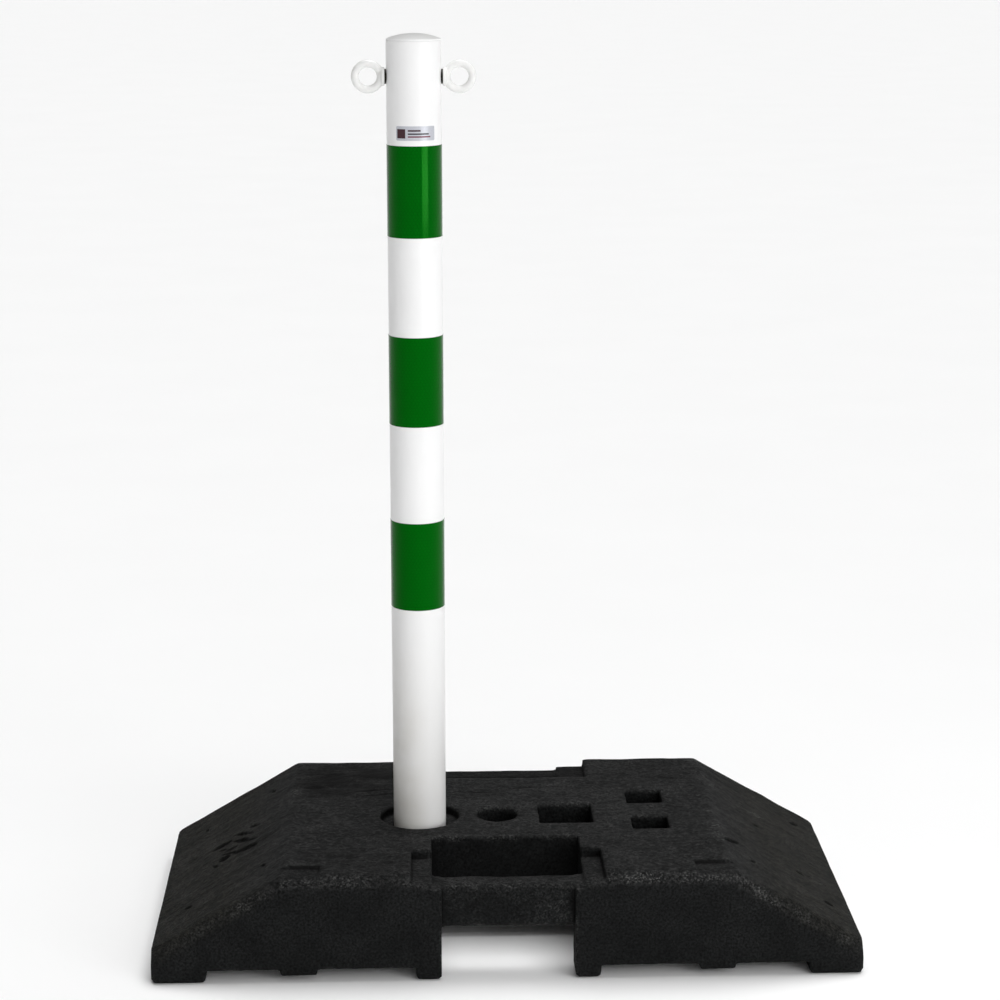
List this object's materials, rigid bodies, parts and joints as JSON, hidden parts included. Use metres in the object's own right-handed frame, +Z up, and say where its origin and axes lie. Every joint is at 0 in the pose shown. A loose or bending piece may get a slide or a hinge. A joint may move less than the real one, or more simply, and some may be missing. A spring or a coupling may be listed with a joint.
{
  "type": "delineator post",
  "caption": "Round banded delineator post with chain rings, standing in a recycled-plastic base plate with spare sockets and grips.",
  "frame": {"origin": "middle of the base plate's footprint, on the ground", "axes": "+Z up along the post; +X to the right along the plate's long side, the post standing on the -X side; +Y to the back, away from the side with the deep grip opening"},
  "size_m": [0.78, 0.4, 1.01],
  "materials": {
    "recycled_plastic": "matte",
    "white_powder_coat": "satin",
    "black_plug_plastic": "matte",
    "green_film": "gloss",
    "silver_label": "satin",
    "white_ring_coat": "gloss",
    "dark_zinc": "satin"
  },
  "bodies": {
    "base": {"base_plate": "recycled_plastic"},
    "foot": {"bottom_plug": "black_plug_plastic"},
    "post": {"post_tube": "white_powder_coat", "top_cap": "white_powder_coat", "reflective_band_top": "green_film", "reflective_band_middle": "green_film", "reflective_band_bottom": "green_film", "maker_label": "silver_label", "ring_bolt_left": "white_ring_coat", "ring_bolt_right": "white_ring_coat", "rivet_nut_left": "dark_zinc", "rivet_nut_right": "dark_zinc"}
  },
  "joints": [
    {"name": "post_lift", "type": "slide", "parent": "base", "child": "foot", "axis": [0, 0, 1], "range_m": [0, 0.1]},
    {"name": "post_turn", "type": "hinge", "parent": "foot", "child": "post", "pos_m": [-0.095, 0, 0.03], "axis": [0, 0, 1], "continuous": true}
  ]
}
